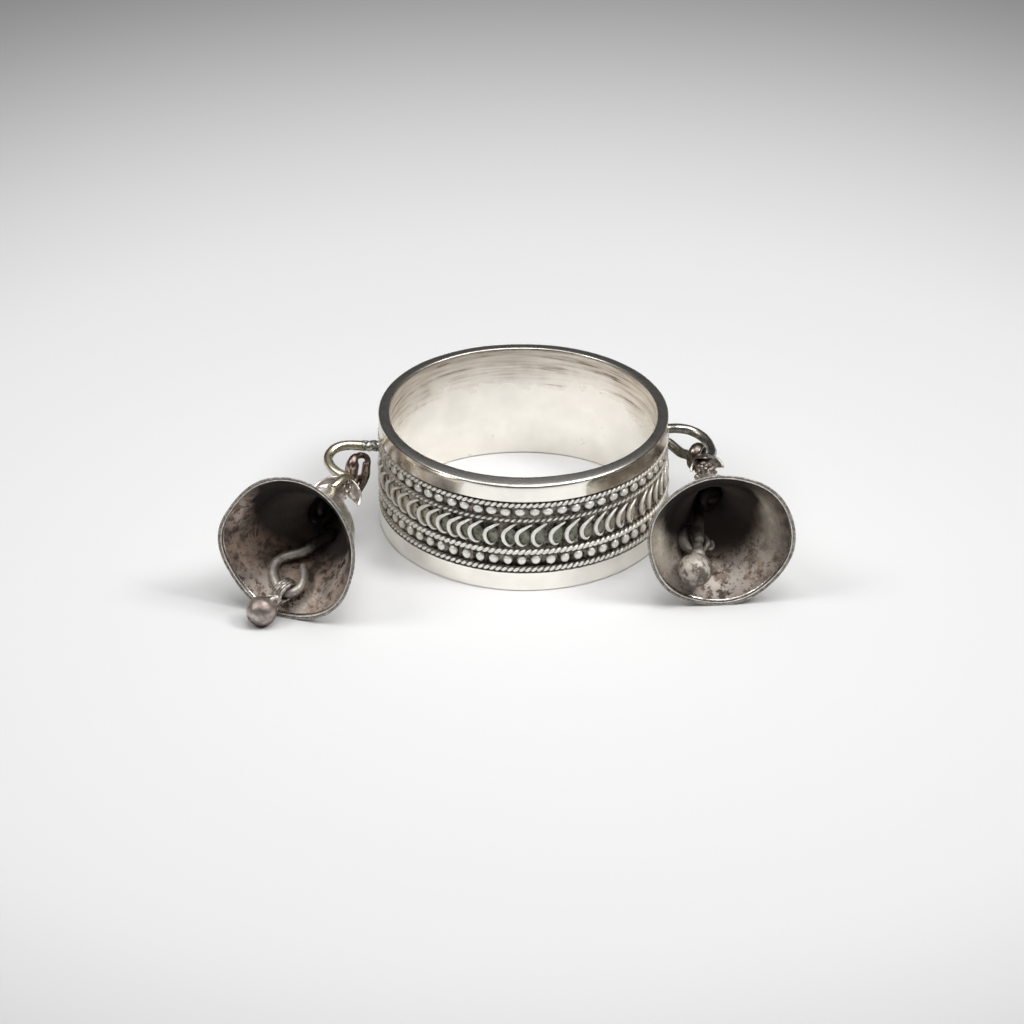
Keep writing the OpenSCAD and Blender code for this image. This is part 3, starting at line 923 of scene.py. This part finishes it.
class BELLRING_OT_bells(bpy.types.Operator):
    """Bells: flared bodies with a grooved lip, ball rows round the necks and crowns of leaves"""
    bl_idname = "bellring.bells"
    bl_label = "Bells"

    # Leaves: direction in degrees from the bell's right, reach, width, droop and fold in mm
    leaves = {
        LEFT: ((188, 2.05, 1.0, 1.75, 0.5), (-41, 1.75, 1.3, 1.45, 0.55), (100, 0.7, 1.2, 0.9, 0.2),
               (240, 0.8, 0.9, 0.6, 0.2)),
        RIGHT: ((90, 0.95, 1.7, 1.55, 0.5), (-4, 1.38, 1.0, 1.05, 0.25), (200, 1.0, 0.8, 1.1, 0.25),
                (275, 0.6, 0.9, 0.3, 0.1)),
    }
    # Distance from the mouth of each row of small balls, and the brass tail on the left neck, in mm
    rows = {LEFT: (9.5, 9.92, 10.34), RIGHT: (8.95, 9.4, 9.85, 10.3)}
    tail = (-12.55, -4.3, 5.95), (-12.95, -5.0, 6.2), (-13.35, -5.6, 6.15), (-13.72, -6.0, 6.0)

    def execute(self, context):
        sizes = context.scene.bell_sizes
        leaf_finish = {
            LEFT: metal("Pale leaf silver", (1.0, 0.95, 0.91), (0.46, 0.39, 0.34), spot=0.6, gloss=0.26,
                        dull=0.42, grain_depth=0.004, metallic=0.8),
            RIGHT: metal("Dark leaf silver", (0.44, 0.41, 0.37), (0.14, 0.12, 0.11), spot=0.6, gloss=0.26,
                         dull=0.42, grain_depth=0.004),
        }
        worn = metal("Worn balls", (0.50, 0.45, 0.40), (0.13, 0.105, 0.09), spot=0.35, gloss=0.36, dull=0.5,
                     grain_depth=0.006, contrast=(0.42, 0.6))
        for side, mouth, crown in ((LEFT, sizes.left_mouth, sizes.left_crown),
                                   (RIGHT, sizes.right_mouth, sizes.right_crown)):
            node, place = f"{side}_bell", bell_frame(side)
            shell = turned(f"{side}_shell", bell_profile(sizes, mouth, crown), 144, poles=True)
            for finish in bell_finishes(side):
                shell.data.materials.append(finish)
            for face in shell.data.polygons:
                across, along = hypot(face.center.x, face.center.y), face.center.z
                if along < 0.17 * MM and across > mouth - 0.3 * MM:
                    face.material_index = 3 if across < mouth - 0.2 * MM else 1
                elif along < sizes.hollow + 0.03 * MM \
                        and across < body_radius(sizes, mouth, along) - sizes.wall / 2:
                    face.material_index = 2
            flexed(shell, side, sizes)
            uneven(shell, 2.6, 0.06, f"{side} bell waves")
            finished(rested(placed(shell, place)), node, angle=50)
            finished(placed(self.neck_row(side), place), node, worn)
            finished(placed(self.crown(side, crown), place), node, leaf_finish[side], 50)
        tail = bent_wire("left_tail", in_mm(self.tail), 0.62 * MM, around=4, along=4)
        brass = tinted(context.scene.finishes.brass, 1.2)
        finished(tarnished_and_shaded_below(tail), "left_bell",
                 wire_finish("Tail brass", brass, tinted(brass, 0.6)), 50)
        return {"FINISHED"}

    def neck_row(self, side):
        """Rows of small balls up the neck, nine in each."""
        model = ball("grain", 0.22 * MM, (0, 0, 0), 14, 8)
        chance = random.Random(SEED + 3)
        places = []
        for row, along in enumerate(self.rows[side]):
            for step in range(9):
                way = tau * (step + row / 2 + chance.uniform(-0.15, 0.15)) / 9
                reach = 0.56 + 0.25 * max(0, 9.8 - along)
                spot = Vector((reach * cos(way), reach * sin(way), along + chance.uniform(-0.06, 0.06)))
                places.append(Matrix.Translation(spot * MM) @ Matrix.Scale(chance.uniform(0.75, 1.1), 4))
        return uneven(copied(f"{side}_neck_balls", model, places), 0.3, 0.2, "Ball lumps")

    def leaf(self, reach, width, droop, fold):
        """A pointed leaf of thin sheet along +X that bends down towards the mouth."""
        begin()
        bpy.ops.mesh.primitive_grid_add(x_subdivisions=10, y_subdivisions=6, size=1)
        piece = named("leaf")
        for vertex in piece.data.vertices:
            share, side = vertex.co.x + 0.5, vertex.co.y * 2
            # Widens up to two fifths of its length, then runs out to the tip
            broad = 0.62 + 0.95 * share if share < 0.4 else max(0.07, (1 - (share - 0.4) / 0.6) ** 0.8)
            turn = share * pi / 2
            sag = fold * side * side * broad
            vertex.co.x = (reach * sin(turn) - sag * sin(turn) * 0.5) * MM
            vertex.co.y = side * width / 2 * broad * MM
            vertex.co.z = -(droop * (1 - cos(turn)) + sag * cos(turn)) * MM
        skin = piece.modifiers.new("Sheet", "SOLIDIFY")
        skin.thickness = 0.2 * MM
        skin.offset = 0
        take(piece)
        bpy.ops.object.modifier_apply(modifier=skin.name)
        round_off = piece.modifiers.new("Soft edge", "SUBSURF")
        round_off.levels = round_off.render_levels = 2
        bpy.ops.object.modifier_apply(modifier=round_off.name)
        return piece

    def crown(self, side, top):
        """The leaves on the stem."""
        leaves = []
        for way, *shape in self.leaves[side]:
            turn = Matrix.Translation((0, 0, top - 0.05 * MM)) @ Matrix.Rotation(radians(-way), 4, "Z")
            leaves.append(placed(self.leaf(*shape), turn))
        return uneven(joined(f"{side}_leaves", leaves), 0.6, 0.06, "Leaf dents")


class BELLRING_OT_bails(bpy.types.Operator):
    """Bails: a loop of flat strap round each hoop, on a stem from the crown"""
    bl_idname = "bellring.bails"
    bl_label = "Bails"

    # Round from the top in mm: broad and coppery in front, thin behind, and the width there to the wire's
    left_loop = ((-12.0, -2.7, 6.74, 0.8), (-12.24, -3.1, 6.7, 1.2), (-12.35, -3.3, 6.3, 1.7),
                 (-12.42, -3.3, 5.75, 1.65), (-12.35, -2.9, 5.05, 1.2), (-11.65, -2.2, 4.75, 0.8),
                 (-11.25, -2.1, 5.75, 0.75), (-11.42, -2.3, 6.5, 0.75))
    left_end = (-11.35, -2.1, 5.8), (-11.45, -2.3, 4.9), (-11.85, -2.9, 3.95)
    # Centre, half of its depth and half of its height as ways in mm, and the strap's width to its thickness
    right_loop, flatness = ((12.62, -0.4, 5.42), (0.35, 0.6, 0.0), (0.05, 0.0, 0.82)), 1.7
    stems = {LEFT: ((-12.2, -2.75, 4.75), (-12.7, -3.7, 5.15)),
             RIGHT: ((12.75, -0.75, 4.75), (13.05, -1.1, 5.2))}

    def execute(self, context):
        sizes = context.scene.hoop_sizes
        coppery = wire_finish("Coppery strap", (0.50, 0.40, 0.345), (0.13, 0.09, 0.072), spot=0.6, gloss=0.16,
                              dull=0.34, edge=(0.2, 0.75), relief=(0.07, 0.05, 0.038))
        brown = wire_finish("Brown strap", (0.40, 0.35, 0.31), (0.10, 0.075, 0.06), spot=0.6, gloss=0.16,
                            dull=0.34)
        for side, loop, finish in ((LEFT, self.left_strap(sizes.left_bail), coppery),
                                   (RIGHT, self.right_strap(sizes.right_bail), brown)):
            stem = bent_wire("stem", in_mm(self.stems[side]), 0.7 * MM, along=2)
            bail = uneven(joined(f"{side}_bail", [stem, *loop]), 0.7, 0.05, "Strap waves")
            finished(tarnished_and_shaded_below(bail), f"{side}_bell", finish)
        return {"FINISHED"}

    def left_strap(self, thick):
        """The left loop and the strap's end, which hangs behind it."""
        points = in_mm(point[:3] for point in self.left_loop)
        return (bent_wire("strap", points, thick, closed=True, widths=[point[3] for point in self.left_loop]),
                bent_wire("end", in_mm(self.left_end), 0.72 * MM, widths=(0.8, 1, 0.5)))

    def right_strap(self, thick):
        """The right loop: an oval ring, thinner behind, that is hammered flat."""
        centre, depth, height = map(Vector, self.right_loop)
        points = [centre + depth * cos(tau * k / 16) + height * sin(tau * k / 16) for k in range(16)]
        strap = bent_wire("strap", in_mm(points), thick, closed=True, around=4, along=3,
                          widths=[1 - 0.22 * cos(tau * k / 16) for k in range(16)])
        middle = Matrix.Translation(centre * MM)
        flat = Matrix.Scale(self.flatness, 4, depth.cross(height).normalized())
        return (placed(strap, middle @ flat @ middle.inverted()),)


# Hangers and clappers

def standing(place, way, roll):
    """Matrix that puts +Z along a way with X kept level, rolled about it."""
    up = way.normalized()
    level = Vector((up.y, -up.x, 0)).normalized()
    base = Matrix((level, up.cross(level), up)).transposed().to_4x4()
    return Matrix.Translation(place * MM) @ base @ Matrix.Rotation(radians(roll), 4, "Z")


def wire_ring(radius, thick, place, way, roll):
    """A ring of wire that stands along a way."""
    points = [(radius * cos(tau * k / 16), 0, radius * sin(tau * k / 16)) for k in range(16)]
    return placed(bent_wire("eye", in_mm(points), thick, closed=True), standing(place, way, roll))


class BELLRING_OT_hangers(bpy.types.Operator):
    """Hangers: a bent wire in each bell, from the eye in the throat to its free end"""
    bl_idname = "bellring.hangers"
    bl_label = "Hangers"

    # Centres of the eye in the throat and of the hanger's own eye, and the hanger's points, in mm
    throats = {LEFT: (-14.33, -7.8, 5.43), RIGHT: (13.37, -5.79, 5.27)}
    eyes = {LEFT: (-14.54, -8.34, 5.12), RIGHT: (13.26, -6.44, 5.27)}
    paths = {
        LEFT: ((-14.65, -8.9, 4.75), (-14.2, -9.7, 4.47), (-13.75, -10.0, 4.5), (-14.38, -10.33, 4.21),
               (-15.06, -10.66, 3.88), (-15.74, -11.0, 3.55), (-16.56, -11.04, 3.33), (-17.17, -11.13, 3.14),
               (-17.67, -11.41, 2.88), (-17.85, -11.95, 2.58), (-17.75, -12.64, 2.27), (-17.38, -13.38, 2.01),
               (-16.76, -13.96, 1.89), (-16.16, -13.86, 2.08), (-15.74, -13.26, 2.47), (-15.66, -12.58, 2.82),
               (-15.71, -12.06, 3.05)),
        RIGHT: ((12.83, -6.9, 5.12), (12.56, -7.26, 5.04), (12.55, -7.94, 4.85), (12.53, -8.91, 4.58),
                (12.53, -9.88, 4.31), (12.55, -10.46, 4.15)),
    }
    widths = {LEFT: (0.9, 1, 1.2, 1.25, 1.25, 1.2) + (1.12,) * 7 + (1.05, 0.95, 0.88, 0.78),
              RIGHT: (0.9, 1.05, 1.12, 1.15, 1.15, 1.1)}
    # How the eyes are rolled in degrees, their radius, and how deep in mm the light reaches along the wires
    rolls, eye_radius, reaches = {LEFT: 0, RIGHT: 90}, 0.6, {LEFT: 3.0, RIGHT: 3.7}

    def execute(self, context):
        thick = context.scene.clapper_sizes.wire
        finishes = {
            LEFT: wire_finish("Left hanger wire", (0.73, 0.69, 0.61), (0.36, 0.32, 0.28), gloss=0.34,
                              dull=0.55, grain_depth=0.01, metallic=0.7, edge=(0.3, 0.95), deep=True),
            RIGHT: wire_finish("Right hanger wire", (0.42, 0.39, 0.34), (0.15, 0.13, 0.11), spot=0.7,
                               gloss=0.45, dull=0.6, grain_depth=0.015, metallic=0.6, edge=(0.2, 0.9),
                               deep=True),
        }
        for side in (LEFT, RIGHT):
            throat, eye, path = Vector(self.throats[side]), Vector(self.eyes[side]), self.paths[side]
            roll, radius, reach = self.rolls[side], self.eye_radius, self.reaches[side]
            way = bell_frame(side).to_3x3() @ Vector((0, 0, 1))
            fixed = wire_ring(radius, thick, throat, way, roll + 90)
            post = bent_wire("post", in_mm((throat + radius * way, throat + 1.4 * way)), thick)
            fixed = shaded(tarnished_and_shaded_below(joined(f"{side}_throat_eye", [fixed, post])), side, reach)
            finished(fixed, f"{side}_bell", finishes[side])
            upper = wire_ring(radius, thick, eye, eye - Vector(path[0]), roll)
            lower = bent_wire("lower", in_mm(path), thick, around=4, widths=self.widths[side])
            hanger = uneven(joined(f"{side}_hanger_wire", [upper, lower]), 0.7, 0.05, "Wire dents")
            finished(shaded(tarnished_and_shaded_below(hanger), side, reach), f"{side}_hanger", finishes[side])
        return {"FINISHED"}


class BELLRING_OT_clappers(bpy.types.Operator):
    """Clappers: a worn ball each, hung at the left by a coil of wire and at the right by bent leaves"""
    bl_idname = "bellring.clappers"
    bl_label = "Clappers"

    # Centres of the balls, of the left coil and of the right hanger's end, and the left spike, in mm
    balls = {LEFT: (-18.68, -15.1, 1.08), RIGHT: (12.27, -12.33, 2.86)}
    coil_centre, hanger_end = (-17.03, -13.78, 2.02), (12.55, -10.46, 4.15)
    spike = (-17.6, -14.4, 1.85), (-17.95, -14.65, 2.05), (-18.35, -14.8, 2.1)
    # The right clapper's leaves: points in mm, thickness and share of it at each point
    petals = (
        (((12.12, -11.04, 3.57), (11.59, -10.59, 3.81), (11.38, -10.0, 4.13), (11.57, -9.41, 4.45),
          (11.93, -9.15, 4.59)), 0.8, (0.6, 0.95, 1, 0.75, 0.35)),
        (((12.91, -10.89, 3.65), (13.2, -10.37, 3.93), (13.03, -9.85, 4.21)), 0.4, (0.8, 1, 0.5)),
        (((13.49, -10.22, 4.01), (13.52, -10.67, 3.77), (13.27, -10.85, 3.67)), 0.3, (0.7, 1, 0.8)),
        (((11.92, -9.63, 4.33), (12.2, -10.37, 3.93), (12.41, -10.89, 3.65)), 0.3, (0.4, 0.8, 1)),
    )
    # How deep in mm the light reaches on what holds the balls
    reach = 2.7

    def execute(self, context):
        sizes = context.scene.clapper_sizes
        finishes = {
            LEFT: (wire_finish("Left ball", (0.60, 0.54, 0.49), (0.24, 0.19, 0.17), spot=0.7, gloss=0.3,
                               dull=0.46, edge=(0.1, 0.7), relief=(0.09, 0.06, 0.052), grain_depth=0.02,
                               metallic=0.9),
                   wire_finish("Clapper wire", (0.74, 0.68, 0.62), (0.14, 0.115, 0.10), spot=0.25, gloss=0.3,
                               dull=0.5, grain_depth=0.015, metallic=0.8)),
            RIGHT: (wire_finish("Right ball", (0.54, 0.49, 0.43), (0.15, 0.125, 0.105), spot=0.6, gloss=0.55,
                                dull=0.6, edge=(0.1, 0.9), grain_depth=0.03, metallic=0.4,
                                contrast=(0.44, 0.56)),
                    wire_finish("Clapper leaves", (0.50, 0.46, 0.41), (0.16, 0.14, 0.12), spot=0.5, gloss=0.5,
                                dull=0.62, grain_depth=0.02, metallic=0.5, deep=True)),
        }
        for side, radius, mount in ((LEFT, sizes.left_ball, self.coil()),
                                    (RIGHT, sizes.right_ball, self.leaves())):
            worn, holder = finishes[side]
            node = f"{side}_clapper"
            bead = ball(f"{node}_ball", radius, Vector(self.balls[side]) * MM, 64, 40)
            uneven(uneven(bead, 0.8, 0.08, "Ball wear"), 0.25, 0.03, "Ball pits")
            finished(tarnished_and_shaded_below(bead), node, worn)
            hung = uneven(joined(f"{node}_mount", mount), 0.5, 0.04, "Mount dents")
            finished(shaded(tarnished_and_shaded_below(hung), side, self.reach), node, holder)
        return {"FINISHED"}

    def coil(self):
        """Four turns of wire round the hook, a short rough neck and the wire's end, a spike beside it."""
        centre, ball_place = Vector(self.coil_centre), Vector(self.balls[LEFT])
        wire, long = Vector((0.72, -0.68, -0.14)), Vector((-0.69, -0.63, -0.37))
        short = wire.cross(long).normalized()
        pieces = []
        for shift in (-0.33, -0.11, 0.11, 0.33):
            turn = [centre + shift * wire + 0.85 * cos(tau * k / 14) * long + 0.58 * sin(tau * k / 14) * short
                    for k in range(14)]
            pieces.append(bent_wire("turn", in_mm(turn), 0.27 * MM, closed=True, around=2, along=3))
        neck = bent_wire("neck", in_mm((centre + 0.8 * long, ball_place)), 1.0 * MM, along=8)
        spike = bent_wire("spike", in_mm(self.spike), 0.3 * MM, widths=(1, 0.8, 0.3))
        return [*pieces, uneven(neck, 0.25, 0.3, "Rough neck"), spike]

    def leaves(self):
        """A dome on the ball and the bent leaves that hold it to the hanger."""
        place = Vector(self.balls[RIGHT])
        way = (Vector(self.hanger_end) - place).normalized()
        dome = ball("dome", 0.58 * MM, (place + 1.2 * way) * MM, 24, 16)
        shank = bent_wire("shank", in_mm(place + out * way for out in (1.0, 1.5, 2.1)), 0.9 * MM,
                          widths=(1.35, 1.0, 0.6))
        return [dome, shank] + [bent_wire("petal", in_mm(points), thick * MM, around=4, widths=widths)
                                for points, thick, widths in self.petals]


# Stage

class BELLRING_OT_stage(bpy.types.Operator):
    """Stage: camera, pale floor with a painted pool of light, and soft light"""
    bl_idname = "bellring.stage"
    bl_label = "Stage"

    # Place and size in metres and power in watts of each square lamp, which faces the ring
    lamps = {"overhead": ((0.08, -0.10, 0.70), 0.5, 3.4), "left": ((-0.50, -0.16, 0.60), 0.3, 1.8),
             "right": ((0.50, -0.16, 0.60), 0.22, 2.8)}
    # The point in front of the ring round which a pool of light is painted on the floor, greying away from
    # it, and the two
    # steps of that painted falloff: the distances in mm between which each one runs, and the share of the
    # tone that it leaves
    pale_point, slow, quick = (0, -8, 0), (8, 60, 0.86), (48, 118, 0.21)
    # Grey of the room by height, from the horizon at 0 to overhead at 1
    room = (0.0, 0.42), (0.08, 0.34), (0.18, 0.04), (0.6, 0.05), (0.8, 0.23)

    def execute(self, context):
        begin()
        bpy.ops.object.camera_add(location=(-0.825 * MM, -523.72 * MM, 301.68 * MM),
                                  rotation=(radians(60.1), 0, 0))
        camera = context.object
        camera.data.sensor_width = 36
        camera.data.lens = 291.5
        camera.data.clip_start, camera.data.clip_end = 0.01, 20
        context.scene.camera = camera
        begin()
        bpy.ops.mesh.primitive_plane_add(size=6)
        floor = named("floor")
        floor.data.materials.append(self.pale_floor(context.scene.finishes.floor))
        for name, (place, size, power) in self.lamps.items():
            begin()
            facing = (-Vector(place)).to_track_quat("-Z", "Y").to_euler()
            bpy.ops.object.light_add(type="AREA", location=place, rotation=facing)
            lamp = bpy.context.object
            lamp.name = name
            lamp.data.size = size
            lamp.data.energy = power
        self.sky(context)
        context.scene.view_settings.view_transform = "Standard"
        return {"FINISHED"}

    def pale_floor(self, colour):
        """Matt and nearly white, with a painted pool of light round the ring: greyer away from it."""
        made, tree, shader = material("Floor with painted light pool", 0.0)
        here = place_of(tree)
        # Painted light: the floor's tone is brightest round the ring and greys away from it in two steps
        away = add(tree, "ShaderNodeVectorMath", {0: here, 1: Vector(self.pale_point) * MM}, out="Value",
                   operation="DISTANCE")
        low, high, share = self.quick
        painted_light_pool = add(tree, "ShaderNodeMapRange", {"Value": away, "From Min": low * MM, "From Max": high * MM},
                   interpolation_type="SMOOTHSTEP")
        dim = tinted(colour, share)
        low, high, share = self.slow
        tone = blend(tree, between(tree, away, low * MM, high * MM), colour, tinted(colour, share))
        tone = blend(tree, painted_light_pool, tone, dim)
        dress(tree, shader, tone, between(tree, cloud(tree, here, 40, 2.0), 0, 1, 0.5, 0.6),
              [(cloud(tree, here, 0.3), 0.002)])
        shader.inputs["Specular IOR Level"].default_value = 0.2
        return made

    def sky(self, context):
        """A dim room: pale at the horizon, dark above it and grey overhead."""
        world = context.scene.world or bpy.data.worlds.new("Room")
        context.scene.world = world
        world.use_nodes = True
        tree = world.node_tree
        way = add(tree, "ShaderNodeTexCoord", out="Generated")
        height = add(tree, "ShaderNodeSeparateXYZ", {"Vector": way}, out="Z")
        greys = tree.nodes.new("ShaderNodeValToRGB")
        stops = greys.color_ramp.elements
        for spot, grey in self.room:
            stop = stops.new(spot) if spot else stops[0]
            stop.color = (grey, grey, grey, 1)
        stops[-1].color = (0.23, 0.23, 0.23, 1)
        tree.links.new(height, greys.inputs["Fac"])
        tree.links.new(greys.outputs["Color"], tree.nodes["Background"].inputs["Color"])


class BELLRING_PT_panel(bpy.types.Panel):
    """Lists the ring's pieces and sizes"""
    bl_idname = "BELLRING_PT_panel"
    bl_label = "Bell ring"
    bl_space_type = "VIEW_3D"
    bl_region_type = "UI"
    bl_category = "Bell ring"

    def draw(self, context):
        for group in GROUPS:
            box = self.layout.box()
            box.label(text=GROUPS[group].__doc__)
            for name in GROUPS[group].__annotations__:
                box.prop(getattr(context.scene, group), name)
        for operator in OPERATORS:
            self.layout.operator(operator.bl_idname)


GROUPS = {
    "band_sizes": BandSizes, "frieze_sizes": FriezeSizes, "hoop_sizes": HoopSizes, "bell_sizes": BellSizes,
    "clapper_sizes": ClapperSizes, "finishes": Finishes,
}
OPERATORS = (BELLRING_OT_band, BELLRING_OT_twists, BELLRING_OT_grains, BELLRING_OT_loops, BELLRING_OT_hoops,
             BELLRING_OT_bells, BELLRING_OT_bails, BELLRING_OT_hangers, BELLRING_OT_clappers,
             BELLRING_OT_stage)


def register():
    for kind in (*GROUPS.values(), *OPERATORS, BELLRING_PT_panel):
        bpy.utils.register_class(kind)
    for name, kind in GROUPS.items():
        setattr(bpy.types.Scene, name, bpy.props.PointerProperty(type=kind))


def unregister():
    for name in GROUPS:
        delattr(bpy.types.Scene, name)
    for kind in reversed((*GROUPS.values(), *OPERATORS, BELLRING_PT_panel)):
        bpy.utils.unregister_class(kind)


def main():
    register()
    bpy.ops.bellring.band()
    bpy.ops.bellring.twists()
    bpy.ops.bellring.grains()
    bpy.ops.bellring.loops()
    bpy.ops.bellring.hoops()
    bpy.ops.bellring.bells()
    bpy.ops.bellring.bails()
    bpy.ops.bellring.hangers()
    bpy.ops.bellring.clappers()
    bpy.ops.bellring.stage()


if __name__ == "__main__":
    main()
